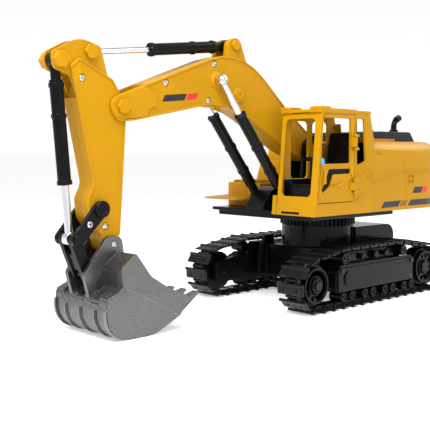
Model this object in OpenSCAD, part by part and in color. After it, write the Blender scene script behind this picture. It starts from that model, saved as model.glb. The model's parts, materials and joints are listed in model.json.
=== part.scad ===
// Toy crawler excavator: tracked undercarriage, slewing upper body with cab,
// two-part boom and stick, bucket with its linkage, and four push rods.
// Frame: +X towards the bucket, +Y to the cab side, +Z up. Millimetres.
// Places along X are written from the slew axis and moved as one by place().

/* [Overall] */
// Distance from the slew axis to the front of the arm
arm_reach = 207; // [206:0.5:209]
// Distance from the slew axis to the tail
tail_reach = 103; // [100:1:106]
// Overall width over the tracks
track_width = 100; // [98:1:106]

/* [Tracks] */
// Half of the distance between idler and sprocket axles
axle_x = 57.5; // [56:0.5:59]
// Radius of the track's pitch line round a wheel
pitch_r = 14.2; // [14:0.1:14.6]
// Width of a track shoe
shoe_w = 19.8; // [18:0.2:20]
// Number of shoes in one track
shoe_count = 34; // [30:1:35]

/* [Slew] */
// Radius of the centre drum
drum_r = 23.7; // [22:0.1:24]
// Height of the drum's top
drum_top = 47; // [46:0.5:47]
// Teeth on the fixed slew ring, at module 1
ring_teeth = 48; // [48:1:48]
// Teeth on the slew pinion
pinion_teeth = 12; // [12:1:12]

/* [Upper body] */
// Half width of the engine house, and radius of its round tail
body_r = 44.5; // [44:0.1:45]
// Height of the body's lower edge
body_bottom = 56.5; // [56:0.1:57]
// Height of the engine deck
deck_z = 101; // [100:0.5:102]
// Wall thickness of the moulded shells
wall = 1.6; // [1.2:0.1:1.8]
// Height of the cab's eaves
cab_top = 117; // [116:0.5:118]

/* [Arm] */
// Half width of the boom
boom_half = 7.2; // [7:0.1:7.4]
// Half width of the stick
stick_half = 6; // [5.8:0.1:6]
// Half width of the bucket
bucket_half = 23.5; // [20:0.5:25]
// Distance of the boom push rods from the centre plane
rod_y = 11.3; // [11.2:0.1:11.5]

/* [Hidden] */

$fn = 48;
arc_step = 12;          // degrees between the points of a rounded corner
run = 0.06;             // radial clearance of a running fit
gap = 0.3;              // clearance between parts that move past each other

yellow = [0.93, 0.66, 0.05];
dark = [0.13, 0.13, 0.14];
grey = [0.23, 0.25, 0.28];
silver = [0.45, 0.45, 0.43];
steel = [0.82, 0.82, 0.85];

mid_x = (arm_reach - tail_reach) / 2;

// Heights and offsets in the tracks
shoe_out = 2.4;                         // from the pitch line to the shoe's outer face
axle_z = pitch_r + shoe_out;
track_y = track_width / 2 - shoe_w / 2; // centre plane of a track
inner_y = track_y - shoe_w / 2;
carrier_x = 31;
carrier_z = 30.4;
carrier_pitch_r = 4.7;
band_w = 8;
band_half_t = 0.8;
wheel_r = 12.6;
roller_r = 3.1;
roller_z = 6.6;

// Pins of the arm, as [x, z]
foot = [19, 98.5];
foot_r = 2;
rod_base = [46.5, 66.5];
rod_end = [100.5, 134.4];
boom_lug = [85.5, 155.5];
stick_pin = [167, 117.5];
stick_lug = [184.7, 143.8];
bucket_lug = [arm_reach - 4.4, 138.8];
link_top = [181.4, 65.5];
link_low = [195.5, 50.8];
bucket_pin = [174, 46.8];
bucket_low = bucket_pin + link_low - link_top;
pin_r = 1.5;
eye_r = 4;

// ---------- helpers ----------
function unit(v) = v / norm(v);
function xy(p) = [p[0], p[1]];
function corner(a, b, c, r) = r == 0 ? [b] :
    let (u = unit(a - b), v = unit(c - b), half = acos(u * v) / 2,
        m = b + unit(u + v) * (r / sin(half)),
        p = b + u * (r / tan(half)) - m,
        q = b + v * (r / tan(half)) - m,
        a0 = atan2(p[1], p[0]),
        sweep = ((atan2(q[1], q[0]) - a0 + 540) % 360) - 180,
        n = max(2, ceil(abs(sweep) / arc_step)))
    [for (i = [0:n]) m + r * [cos(a0 + sweep * i / n), sin(a0 + sweep * i / n)]];
// An outline from [x, y, corner radius] entries
function rounded(pts) = let (n = len(pts))
    [for (i = [0:n - 1]) each corner(xy(pts[(i + n - 1) % n]), xy(pts[i]), xy(pts[(i + 1) % n]), pts[i][2])];
function box_points(x0, x1, z0, z1, r) = rounded([[x0, z0, r], [x1, z0, r], [x1, z1, r], [x0, z1, r]]);

module place() translate([-mid_x, 0, 0]) children();
// Extrudes an outline drawn in X and Z over the stretch y0 to y1
module side(y0, y1) translate([0, y1, 0]) rotate([90, 0, 0]) linear_extrude(y1 - y0) children();
// Extrudes an outline drawn in Y and Z over the stretch x0 to x1
module front(x0, x1) translate([x0, 0, 0]) rotate([90, 0, 90]) linear_extrude(x1 - x0) children();
module rod_along_y(p, y0, y1, r) translate([p[0], y0, p[1]]) rotate([-90, 0, 0])
    cylinder(r = r, h = y1 - y0);
module block(x0, x1, y0, y1, z0, z1) translate([x0, y0, z0]) cube([x1 - x0, y1 - y0, z1 - z0]);
module both_sides() {
    children();
    mirror([0, 1, 0]) children();
}
module hex_head(p, y0, y1, r) translate([p[0], y0, p[1]]) rotate([-90, 0, 0])
    cylinder(r = r, h = y1 - y0, $fn = 6);
// Stands +Z along the line from a to b, with a at the origin
module aim(a, b, y) translate([a[0], y, a[1]]) rotate([0, atan2(b[0] - a[0], b[1] - a[1]), 0]) children();

// ---------- track loop ----------
// Pulleys that the pitch line runs round, in order: [x, z, radius]
pulleys = [[-axle_x, axle_z, pitch_r], [axle_x, axle_z, pitch_r],
    [carrier_x, carrier_z, carrier_pitch_r], [-carrier_x, carrier_z, carrier_pitch_r]];
pulley_n = len(pulleys);
function out_angle(i) = let (a = pulleys[i], b = pulleys[(i + 1) % pulley_n], d = xy(b) - xy(a),
        u = unit(d), w = [u[1], -u[0]], k = (a[2] - b[2]) / norm(d), n = u * k + w * sqrt(1 - k * k))
    atan2(n[1], n[0]);
function span(i) = let (a = pulleys[i], b = pulleys[(i + 1) % pulley_n], d = norm(xy(b) - xy(a)))
    sqrt(d * d - pow(a[2] - b[2], 2));
function wrap(i) = (out_angle(i) - out_angle((i + pulley_n - 1) % pulley_n) + 720) % 360;
function arc_len(i) = wrap(i) * PI / 180 * pulleys[i][2];
function loop_len(i = 0) = i == pulley_n ? 0 : span(i) + arc_len(i) + loop_len(i + 1);
// Point on the pitch line and the angle of its outward normal, s millimetres from where
// the lower run leaves the sprocket
function on_loop(s, i = 0) = let (a = pulleys[i], b = pulleys[(i + 1) % pulley_n], n0 = out_angle(i),
        n = [cos(n0), sin(n0)], l = span(i), j = (i + 1) % pulley_n)
    s <= l ? [xy(a) + n * a[2] + unit(xy(b) - xy(a) + n * (b[2] - a[2])) * s, n0] :
    s <= l + arc_len(j) ? let (t = n0 + (s - l) / b[2] * 180 / PI) [xy(b) + b[2] * [cos(t), sin(t)], t] :
    on_loop(s - l - arc_len(j), j);
shoe_pitch = loop_len() / shoe_count;

module loop_area(grow) hull() for (p = pulleys) translate(xy(p)) circle(r = p[2] + grow, $fn = 64);
// One shoe in section, at the origin with its outer face up: the plate, with a grouser at its rear edge
module shoe_section() polygon([[-3.5, 0.6], [3.4, 0.6], [3.4, 1.7], [-1.9, 1.7], [-2.3, shoe_out],
    [-3.5, shoe_out]]);
module track_belt() {
    side(track_y - band_w / 2, track_y + band_w / 2) difference() {
        loop_area(band_half_t);
        loop_area(-band_half_t);
    }
    side(inner_y, inner_y + shoe_w) for (i = [0:shoe_count - 1]) {
        at = on_loop((i + 0.5) * shoe_pitch);
        translate(at[0]) rotate(at[1] - 90) shoe_section();
    }
}

// ---------- undercarriage ----------
hub_r = 12;
base_z = 12;
frame_in = 31;      // inner face of the track frames
cross_x = 24;
cross_top = 33;
box_back = -54;
box_front = -10;
door_screw_x = -15;
switch_travel = 3.6;
box_half = 24;
box_top = 45;
shell_t = 2;
shaft_r = 2.5;          // drive shaft of a sprocket
axle_r = 2;             // fixed axle of an idler
side_cut = 60;          // far enough past the tracks for a through cut

module chassis_frame() color(dark) place() {
    chassis_body();
    // post for the battery door's screw
    difference() {
        block(door_screw_x - 2, door_screw_x + 2, -3, 3, base_z + 2, box_top - shell_t + 0.1);
        translate([door_screw_x, 0, base_z]) cylinder(r = 1.25, h = 12);
    }
}
module chassis_body() difference() {
    union() {
        translate([0, 0, base_z]) cylinder(r = drum_r, h = drum_top - base_z, $fn = 96);
        block(-cross_x, cross_x, -frame_in, frame_in, base_z, cross_top);
        side(-box_half, box_half) polygon(rounded([[box_back, base_z, 0], [box_front, base_z, 0],
            [box_front, box_top, 0], [box_back, box_top, 8]]));
        both_sides() side(box_half, 27) polygon(rounded([[16, base_z, 0], [30, base_z, 0], [30, 26, 4],
            [24, cross_top + 6, 4], [16, cross_top + 6, 2]]));
    }
    translate([0, 0, base_z - 1]) cylinder(r = drum_r - shell_t, h = drum_top - 4 - base_z + 1, $fn = 96);
    block(-cross_x + shell_t, cross_x - shell_t, -frame_in + shell_t, frame_in - shell_t, base_z - 1,
        cross_top - shell_t);
    side(-box_half + shell_t, box_half - shell_t) polygon(rounded([[box_back + shell_t, base_z - 1, 0],
        [box_front - shell_t, base_z - 1, 0], [box_front - shell_t, box_top - shell_t, 0],
        [box_back + shell_t, box_top - shell_t, 6]]));
    translate([0, 0, 30]) cylinder(r = hub_r + run, h = 30);
    // slot for the power switch through the rear wall
    block(box_back - 1, box_back + shell_t + 1, -5, 5, 22, 26);
}

module battery_pack() color([0.2, 0.35, 0.6]) place() for (i = [0:2])
    translate([-43.5 + 10.5 * i, -20, 22]) rotate([-90, 0, 0]) {
        cylinder(r = 5, h = 38);
        translate([0, 0, 37]) cylinder(r = 2, h = 2.4);
    }

module battery_door() color(dark) place() difference() {
    union() {
        block(box_back + shell_t + gap, box_front - shell_t - gap, -box_half + shell_t + gap,
            box_half - shell_t - gap, base_z, base_z + 1.6);
        block(-50, -48, -16, 16, base_z + 1.6, base_z + 3.6);
    }
    translate([door_screw_x, 0, base_z - 1]) cylinder(r = 1.6, h = 4);
}

module chassis_screws() color(steel) place() {
    translate([door_screw_x, 0, base_z - 0.6]) {
        cylinder(r = 2.4, h = 0.6);
        cylinder(r = 1.2, h = 8);
    }
    both_sides() for (x = [-40, 34]) rod_along_y([x, 23], track_y + 7.4, track_y + 8, 1.8);
}

module power_switch() color(silver) place() translate([0, -switch_travel / 2, 0]) {
    block(box_back - 1.2, box_back + 1, -1.6, 1.6, 22.4, 25.6);
    block(box_back + 0.9, box_back + shell_t - gap, -3, 3, 22.4, 25.6);
    block(box_back + shell_t + gap, box_back + 5, -3, 3, 21, 27);
    block(box_back + 0.9, box_back + 5, -2, 2, 22.6, 25.4);
}

// Straight-flanked gear outline with a tip and root relief
function gear_points(n, thin, tip, root) = [for (i = [0:n - 1]) let (a = i * 360 / n, k = 180 / PI)
    each [for (q = [[-0.98, root], [-0.7, 0], [-0.28, tip], [0.28, tip], [0.7, 0], [0.98, root]])
        let (r = n / 2 + q[1], t = a + (q[0] + (q[0] > 0 ? -thin : thin)) / r * k) r * [cos(t), sin(t)]]];

module ring_gear() color(dark) place() translate([0, 0, drum_top]) difference() {
    linear_extrude(gear_t) polygon(gear_points(ring_teeth, 0.06, 0.8, -1.1));
    translate([0, 0, -1]) cylinder(r = 16, h = 6);
}

module track_frame() difference() {
    union() {
        side(frame_in, frame_in + 3) polygon(rounded([[-64, 10, 5], [-46, 9.6, 2], [46, 9.6, 2], [64, 10, 5],
            [64, 23, 5], [44, 26, 4], [-44, 26, 4], [-64, 23, 5]]));
        side(frame_in + 3, track_y + 6) polygon(rounded([[-43, 9.8, 2], [38.5, 9.8, 2], [38.5, 22, 3],
            [34, 26.4, 3], [-43, 26.4, 3]]));
        side(track_y + 6, track_y + 7.4) polygon(rounded([[-42, 10.2, 1.5], [37.6, 10.2, 1.5], [37.6, 24.6, 2],
            [-42, 24.6, 2]]));
        side(frame_in + 3, track_y + 1.5) polygon(rounded([[-28, 26, 1], [26, 26, 1], [23, 33, 2], [-25, 33, 2]]));
        side(track_y + 7.3, track_y + 8.4) polygon(box_points(-39, 32, 13.4, 22.6, 3.6));
        rod_along_y([-4, 29.6], track_y + 1, track_y + 4.5, 2.6);
    }
    for (x = [-axle_x, axle_x]) rod_along_y([x, axle_z], 20, side_cut, x < 0 ? shaft_r + run : axle_r);
}

module rollers() {
    for (i = [0:3]) {
        x = 26.5 - 21.6 * i;
        block(x - 5, x + 5, track_y - 3, track_y + 4, roller_z, 9.8);
        for (s = [-1, 1]) rod_along_y([x + 4.3 * s, roller_z], track_y - 3, track_y + 6, roller_r);
    }
    for (x = [-carrier_x, carrier_x]) {
        block(x - 1.6, x + 1.6, track_y - 3, track_y + 3, 26.4, carrier_z);
        rod_along_y([x, carrier_z], track_y - 3, track_y + 7.2, 3.5);
    }
}

// Disc wheel with a stepped rim and a ring of holes; the bore is cut by its caller
wheel_holes = 10;
hole_ring_r = 7.6;
module wheel(x) {
    difference() {
        rod_along_y([x, axle_z], track_y - 4, track_y + 4, wheel_r);
        rod_along_y([x, axle_z], track_y + 2.5, track_y + 5, wheel_r - 2);
    }
    difference() {
        rod_along_y([x, axle_z], track_y + 2.4, track_y + 7, 10.8);
        rod_along_y([x, axle_z], track_y + 5.8, track_y + 8, 9.4);
        for (i = [0:wheel_holes - 1]) let (a = i * 360 / wheel_holes)
            rod_along_y([x + hole_ring_r * cos(a), axle_z + hole_ring_r * sin(a)], track_y + 4.4, track_y + 8, 1.3);
    }
    rod_along_y([x, axle_z], track_y + 5.7, track_y + 7.6, 4.6);
}
module idler() difference() {
    wheel(axle_x);
    rod_along_y([axle_x, axle_z], 20, side_cut, axle_r + run);
}
module sprocket() {
    wheel(-axle_x);
    rod_along_y([-axle_x, axle_z], 25, track_y, shaft_r);
}
module idler_axles() color(steel) place() both_sides() {
    rod_along_y([axle_x, axle_z], frame_in - 1, track_y + 7.8, axle_r);
    rod_along_y([axle_x, axle_z], track_y + 7.8, track_y + 8.6, 2.6);
}

module gearbox() difference() {
    union() {
        block(-65, -36, box_half + 0.2, frame_in - 1.4, base_z - 1, 24);
        block(-65, box_back - 1, 12, box_half + 0.3, base_z - 1, 24);
        rod_along_y([-axle_x, axle_z], frame_in - 1.5, frame_in, 5);
        rod_along_y([-60, 17.5], 4, 12.1, 5);
    }
    rod_along_y([-axle_x, axle_z], 24, side_cut, shaft_r + run);
}

// ---------- upper body ----------
cab_in = 15.5;          // cab wall beside the boom
cab_out = 45;           // cab wall with the door
cab_front_low = 58.4;
cab_front_high = 52.9;
cab_back_high = 5.5;
seam_x = 1;             // joint between cab and engine house
floor_z = 53.5;
tail_x = body_r - tail_reach;   // centre of the round tail
plate_r = body_r - wall - 0.2;  // half width of the floor plate
plate_x = 56.4;                 // front edge of the floor plate
plate_t = 2;
plate_top = body_bottom + plate_t;
pinion_x = -(ring_teeth + pinion_teeth) / 2;
pinion_r = 1.5;                 // shaft of the pinion
gear_t = 3.6;                   // thickness of the ring and the pinion

module upper_floor() color(dark) place() difference() {
    union() {
        translate([0, 0, 38]) cylinder(r = hub_r, h = 16);
        translate([0, 0, drum_top + 4]) cylinder(r = 25, h = floor_z - drum_top - 4, $fn = 96);
        block(-30, 54, -39, 39, floor_z, body_bottom);
        translate([0, 0, body_bottom]) linear_extrude(plate_t) {
            translate([tail_x, 0]) circle(r = plate_r, $fn = 96);
            translate([tail_x, -plate_r]) square([plate_x - tail_x, 2 * plate_r]);
        }
        both_sides() side(boom_half + 0.4, boom_half + 3) polygon(rounded([[7, body_bottom, 0],
            [30, body_bottom, 0], [26, 100, 6], [19, 105, 6], [12, 104, 4], [7, 98, 2]]));
    }
    rod_along_y(foot, -20, 20, foot_r + run);
    translate([pinion_x, 0, 40]) cylinder(r = pinion_r + run, h = 30);
}

// Room for the floor plate in the shells that stand over it
module floor_recess() translate([0, 0, body_bottom - 5]) linear_extrude(plate_t + 5.1) {
    translate([tail_x, 0]) circle(r = plate_r + 0.1, $fn = 96);
    translate([tail_x, -plate_r - 0.1]) square([plate_x - tail_x + 0.2, 2 * plate_r + 0.2]);
}

// Cross-section of the engine house: [distance from centre, height], with a round shoulder
function house(shrink) = let (r = 9 - shrink, w = body_r - shrink, t = deck_z - shrink)
    concat([[0, body_bottom - (shrink > 0 ? 1 : 0)], [w, body_bottom - (shrink > 0 ? 1 : 0)]],
        [for (a = [0:15:90]) [w - r + r * cos(a), t - r + r * sin(a)]], [[0, t]]);
module house_solid(shrink, x1) {
    translate([tail_x, 0, 0]) rotate([0, 0, 90]) rotate_extrude(angle = 180, $fn = 96) polygon(house(shrink));
    front(tail_x, x1) for (s = [0, 1]) mirror([s, 0]) polygon(house(shrink));
}
module body_shell() color(yellow) place() difference() {
    house_solid(0, seam_x);
    house_solid(wall, seam_x - wall);
    floor_recess();
    // opening for the foot of the boom and the wires
    block(-8, seam_x + 1, -boom_half - 1, boom_half + 1, 62, 99.2);
    // vent recess behind the cab
    side(body_r - 0.8, body_r + 1) polygon(rounded([[-1.5, 99.5, 0], [-9, 91.8, 1], [-1.5, 91.8, 1]]));
    // door latch
    side(body_r - 0.5, body_r + 1) difference() {
        polygon(box_points(-45, -39, 74, 79, 0.6));
        polygon(box_points(-44, -40, 75, 78, 0.4));
    }
}

hood_x0 = -74;
hood_x1 = -9;
module engine_hood() color(grey) place() {
    difference() {
        side(-24, 26) polygon(rounded([[hood_x0, deck_z, 0], [hood_x1, deck_z, 0], [hood_x1, 107, 2],
            [-29.6, 107.6, 1], [-30.4, 106.8, 0], [-31.2, 107.8, 1], [hood_x0 + 6, 107.8, 2]]));
        for (i = [0:7]) block(hood_x1 - 18 + 2 * i, hood_x1 - 17 + 2 * i, -20, 22, 106.6, 109);
    }
    translate([-31, 20, 107]) cylinder(r = 1.3, h = 1.8);
}

module exhaust_pipe() color(dark) place() translate([-60, 18, 107.8]) {
    cylinder(r = 3, h = 1.6);
    cylinder(r = 2, h = 4.6);
    translate([-5, 0, 4]) rotate([90, 0, 0]) rotate_extrude(angle = 65) translate([5, 0]) circle(r = 1.9);
    translate([-5 + 5 * cos(65), 0, 4 + 5 * sin(65)]) rotate([0, -65, 0]) translate([0, 0, -0.4])
        cylinder(r = 2.3, h = 3.9);
}

module teeth_strip(x0, x1, z, pitch, h) side(0, 1.6) polygon(concat([[x0, z]],
    [for (x = [x0:pitch:x1 - pitch]) each [[x, z + h], [x + pitch * 0.5, z + h], [x + pitch * 0.6, z + h * 0.5],
        [x + pitch * 0.9, z + h * 0.5]]], [[x1, z]]));
module tread_strips() color(yellow) place() {
    for (y = [27.6, 33.4]) translate([0, y, 0]) teeth_strip(-36, -2, deck_z, 2.4, 1.6);
    for (y = [-42, -36, -30, -24]) translate([0, y, 0]) teeth_strip(14, 38, 74, 2.4, 1.6);
}

box_in = -14.8;
module toolbox() color(yellow) place() {
    difference() {
        union() {
            side(-body_r, box_in) polygon(rounded([[seam_x, body_bottom, 0], [40, body_bottom, 1], [40, 74, 1],
                [13, 74, 0], [8, 88.5, 2], [seam_x, 88.5, 0]]));
            side(-body_r, box_in) polygon([[39, 62.6], [62, 64], [62, 65], [39, 66]]);
        }
        side(-body_r + wall, box_in - wall) polygon([[seam_x - 1, 55], [38.4, 55], [38.4, 72.4],
            [11.8, 72.4], [7, 86.9], [seam_x - 1, 86.9]]);
        floor_recess();
    }
}

// Side outline of the cab, with its raked front
function cab_front_x(z) = cab_front_low
    + (cab_front_high - cab_front_low) * (z - body_bottom) / (cab_top - body_bottom);
cab_side = [[cab_front_low, body_bottom], [cab_front_high, cab_top], [cab_back_high, cab_top],
    [seam_x, deck_z], [seam_x, body_bottom]];
door_x0 = 21.2;
door_z0 = 64.4;
door_z1 = 116;
function door_front(z) = cab_front_x(z) - 3;
function door_outline(g) = [[door_x0 - g, door_z0 - g], [door_front(door_z0) + g, door_z0 - g],
    [door_front(door_z1) + g, door_z1 + g], [door_x0 - g, door_z1 + g]];
hinge_at = [door_x0 + 0.6, cab_out + 1.3];
knuckle_r = 1.2;
hinge_pin_r = 0.5;
knuckles = [[71, 76], [97, 103]];

module cab_shell() color(yellow) place() difference() {
    union() {
        cab_body();
        for (k = knuckles) for (z = [k[0] - 1.8, k[1] + 0.2]) {
            translate([hinge_at[0], hinge_at[1], z]) cylinder(r = knuckle_r, h = 1.6);
            block(hinge_at[0] - 2.6, door_x0 - 0.35, cab_out - 0.5, hinge_at[1] + 1, z, z + 1.6);
            block(hinge_at[0] - 2.6, hinge_at[0], cab_out + 0.2, hinge_at[1] + 1, z, z + 1.6);
        }
    }
    for (k = knuckles) translate([hinge_at[0], hinge_at[1], k[0] - 4])
        cylinder(r = hinge_pin_r + run, h = k[1] - k[0] + 8);
}
module cab_body() difference() {
    union() {
        side(cab_in, cab_out) polygon(cab_side);
        side(11.7, cab_in + 1) polygon([[cab_front_x(body_bottom), body_bottom], [cab_front_x(68), 68], [55, 68],
            [56, body_bottom]]);
    }
    // room inside
    side(cab_in + wall, cab_out - wall) polygon([[cab_front_x(plate_top) - wall, plate_top],
        [cab_front_x(cab_top) - wall, cab_top + 13], [cab_back_high + 1.4, cab_top + 13], [seam_x + 1.4, deck_z],
        [seam_x + 1.4, plate_top]]);
    floor_recess();
    // windscreen
    front(45, 70) polygon(box_points(18.4, 40.8, 68, 113.5, 3));
    // rear window
    front(-10, 12) polygon(box_points(21, 39, 103, 113, 2));
    // doorway and rear quarter light
    side(cab_out - wall - 1, cab_out + 1) polygon(door_outline(0.35));
    side(cab_out - wall - 1, cab_out + 1) polygon(rounded([[18.2, 86, 1.5], [18.8, 114.4, 1.5], [11.6, 114, 1.5],
        [9.4, 88.6, 1.5]]));
    // windows in the inner wall
    side(cab_in - 1, cab_in + wall + 1) {
        polygon(box_points(31, 47, 78, 113, 3));
        polygon(box_points(12, 27, 98, 113, 3));
    }
}

module cab_roof() color(yellow) place() {
    side(cab_in, cab_out) polygon(rounded([[cab_front_high + 0.6, cab_top, 0], [cab_front_high + 0.4, 119, 1],
        [cab_back_high - 1, 119, 1], [cab_back_high - 0.4, cab_top, 0]]));
    for (y = [cab_in - 1, cab_out - 8]) side(y, y + 8) polygon(rounded([[44, 118.5, 0],
        [cab_front_high + 1.2, cab_top, 0], [cab_front_high + 1.2, 120.6, 1], [44, 120.6, 1]]));
    side(20, 40) polygon(rounded([[12, 118.5, 0], [38, 118.5, 0], [37, 120, 0.6], [13, 120, 0.6]]));
}

module cab_door() color(yellow) place() {
    difference() {
        side(cab_out - wall, cab_out) polygon(door_outline(0));
        side(cab_out - 3, cab_out + 1) {
            polygon(rounded([[24.6, 87.4, 1.2], [52.6, 87.2, 1.2], [50.2, 114, 1.2], [25, 114, 1.2]]));
            polygon(rounded([[24.6, 84.2, 0.6], [45.4, 84.2, 1.5], [51.6, 71.4, 1], [50.4, 70.4, 1], [43.6, 74.4, 1],
                [40.6, 81, 1], [24.6, 81.2, 0.6]]));
        }
    }
    for (k = knuckles) {
        translate([hinge_at[0], hinge_at[1], k[0]]) cylinder(r = knuckle_r, h = k[1] - k[0]);
        block(hinge_at[0], hinge_at[0] + 3, cab_out - 0.2, hinge_at[1] + 1, k[0], k[1]);
        translate([hinge_at[0], hinge_at[1], k[0] - 1.6]) cylinder(r = hinge_pin_r, h = k[1] - k[0] + 3.2);
    }
    side(cab_out - 0.1, cab_out + 1) polygon(box_points(48.6, 50.2, 75.5, 82, 0.6));
}

cabin_floor = plate_top + 0.1;
lever_at = [43, 30];
lever_z = 66;
module seat() color(dark) place() {
    side(21, 38) polygon(rounded([[8, cabin_floor, 0], [28, cabin_floor, 0], [30, 72, 2], [19, 74, 2],
        [15.5, 106, 2], [10, 106, 2]]));
    side(23, 36) polygon(rounded([[18, 73, 0], [29.6, 71.5, 0], [29.6, 75, 2], [19, 77, 1]]));
}
module console() color(dark) place() difference() {
    console_body();
    translate([lever_at[0], lever_at[1], lever_z - 0.1]) cylinder(r = 1.15, h = 10);
}
module console_body() {
    side(19, 41) polygon(rounded([[47, cabin_floor, 0], [53, cabin_floor, 0], [51.6, 74, 2], [46, 76, 2]]));
    side(24, 36) polygon(rounded([[40, cabin_floor, 0], [47.1, cabin_floor, 0], [46.1, 70, 0], [40, 66, 2]]));
}
module control_lever() color(dark) place() {
    translate([lever_at[0], lever_at[1], lever_z]) cylinder(r = 1.1, h = 24);
    rod_along_y([lever_at[0], lever_z + 24], lever_at[1] - 4.5, lever_at[1] + 4.5, 1.3);
}
module cab_led() color([0.2, 0.5, 1]) place() translate([34, 30, cabin_floor]) {
    cylinder(r = 1.2, h = 26);
    translate([0, 0, 26]) cylinder(r = 2.5, h = 1);
    translate([0, 0, 27]) cylinder(r = 2, h = 3);
    translate([0, 0, 30]) sphere(r = 2);
}

module slew_motor() color(steel) place() translate([pinion_x, 0, plate_top]) {
    cylinder(r = 9, h = 9);
    translate([0, 0, 9]) cylinder(r = 6, h = 14);
}
module slew_pinion() color([0.9, 0.9, 0.85]) place() translate([pinion_x, 0, drum_top]) {
    linear_extrude(gear_t) rotate(180 / pinion_teeth) polygon(gear_points(pinion_teeth, 0.06, 0.8, -1.1));
    cylinder(r = pinion_r, h = 11.4);
}
module boom_gearbox() color(dark) place() {
    block(-30, -9, -7, 7, 84, 98.5);
    block(-18, -10, -5, 5, plate_top, 84.1);
    rod_along_y([-20, 91], 7, 20, 5);
}
module circuit_board() color([0.1, 0.45, 0.2]) place() {
    block(-80, -50, -24, 24, 78, 79.6);
    for (y = [-16, -4, 8]) block(-74, -64, y, y + 8, 79.6, 81.6);
    for (y = [-20, 20]) translate([-56, y, plate_top]) cylinder(r = 2.4, h = 78 - plate_top);
}
module cylinder_bracket() color(dark) place() difference() {
    side(-boom_half + 0.2, boom_half - 0.2) polygon(rounded([[38, plate_top, 0], [61, plate_top, 1], [61, 62, 2],
        [53, 70.5, 4], [46.5, 73, 4], [40, 70, 4]]));
    rod_along_y(rod_base, -20, 20, pin_r);
}
module cylinder_pin() color(steel) place() {
    rod_along_y(rod_base, -rod_y - 3, rod_y + 3, pin_r);
    both_sides() rod_along_y(rod_base, rod_y + 2.9, rod_y + 3.4, 2.6);
}
module foot_pin() color(steel) place() {
    rod_along_y(foot, -boom_half - 3, boom_half + 3, foot_r);
    both_sides() rod_along_y(foot, boom_half + 3, boom_half + 4, 3);
}

// ---------- boom ----------
boom_outline = rounded([[176, 120.8, 5.5], [171, 109.6, 6], [160, 110.4, 10], [92.2, 123.4, 60], [40, 95.3, 15],
    [21, 88, 5], [13, 91, 4], [12.5, 101.5, 4], [40, 120.4, 20], [81.4, 155, 45]]);
boom_inner = rounded([[149, 128.6, 1], [149, 114.6, 1], [92.4, 125.2, 60], [40, 97.4, 15], [26, 92, 2],
    [26, 105.8, 2], [40, 118, 20], [81.4, 152.7, 43]]);
lug_outline = rounded([[74, 142, 0], [80.6, 157.8, 3], [84, 160.2, 4], [90.3, 157.6, 4], [91.8, 146, 0]]);
nose_plate = rounded([[175, 120, 5], [170.6, 110.6, 6], [151, 112.8, 1], [149.6, 117, 1], [145, 118, 1],
    [144.4, 125, 1], [150, 127.4, 1], [153, 128.4, 1]]);
boom_screw_at = [[101.8, 143.6], [137.4, 131.1], [106.1, 122.9]];

module boom_half_shell(with_heads) difference() {
    union() {
        difference() {
            side(0, boom_half) polygon(boom_outline);
            side(-1, boom_half - wall) polygon(boom_inner);
        }
        for (p = boom_screw_at) rod_along_y(p, 0, boom_half - 0.5, 2.8);
        side(2.9, boom_half - 0.4) polygon(lug_outline);
        side(boom_half - 0.1, boom_half + 0.8) polygon(nose_plate);
        translate([rod_end[0], boom_half - 0.1, rod_end[1]]) rotate([-90, 0, 0]) cylinder(r1 = 5, r2 = 3.2, h = 1.8);
        hex_head([82.4, 127], boom_half - 0.1, boom_half + 0.7, 4.6);
    }
    // slot for the stick between the cheeks of the nose
    side(-1, stick_half + 0.2) polygon([[150.5, 100], [190, 100], [190, 140], [150.5, 140]]);
    rod_along_y(foot, -20, 20, foot_r + run);
    rod_along_y(stick_pin, -20, 20, pin_r);
    rod_along_y(boom_lug, -20, 20, pin_r);
    for (p = boom_screw_at) rod_along_y(p, -1, boom_half - (with_heads ? 0 : 2), 0.95);
    if (with_heads) for (p = boom_screw_at) rod_along_y(p, boom_half - 1, boom_half + 1, 2);
}
module boom_screws() color(steel) place() for (p = boom_screw_at) {
    rod_along_y(p, boom_half - 1, boom_half - 0.2, 1.7);
    rod_along_y(p, -4, boom_half - 0.9, 0.9);
}
module boom_bolts() color(yellow) place() {
    rod_along_y(stick_pin, -boom_half - 0.8, boom_half + 0.8, pin_r);
    rod_along_y(boom_lug, -boom_half + 0.4, boom_half - 0.4, pin_r);
    both_sides() {
        hex_head(stick_pin, boom_half + 0.8, boom_half + 2.4, 4.1);
        hex_head(boom_lug, boom_half - 0.4, boom_half + 1.4, 3.2);
    }
}

// Push rod parts, drawn from the eye at the origin up +Z
neck = 9.5;             // slim stretch of a barrel beside its eye
boom_rod_r = 1.8;
stick_rod_r = 1.7;
bucket_rod_r = 2;
stick_barrel_len = 58;
bucket_barrel_len = 61;
module barrel(length, r, eye_half, rings) {
    translate([0, eye_half, 0]) rotate([90, 0, 0]) cylinder(r = eye_r - 0.3, h = 2 * eye_half);
    translate([0, 0, 2]) cylinder(r = eye_half - 0.1, h = neck);
    translate([0, 0, neck]) cylinder(r = r, h = length - neck);
    for (z = rings) translate([0, 0, z]) cylinder(r = r + 0.45, h = 2.2);
}
module rod_piece(length, r, eye_half, eye) {
    translate([0, 0, -length]) cylinder(r = r, h = length - 1);
    translate([0, eye_half, 0]) rotate([90, 0, 0]) cylinder(r = eye, h = 2 * eye_half);
}
module barrel_bore(length, r, pin) {
    translate([0, 0, neck + 1]) cylinder(r = r + run, h = length);
    translate([0, 20, 0]) rotate([90, 0, 0]) cylinder(r = pin + run, h = 40);
}
boom_rod_len = norm(rod_end - rod_base);
boom_barrel_len = 63;
module boom_barrel() aim(rod_base, rod_end, rod_y) difference() {
    barrel(boom_barrel_len, 3.25, 2.8, [20, 38, boom_barrel_len - 2.2]);
    barrel_bore(boom_barrel_len, boom_rod_r, pin_r);
}
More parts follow.
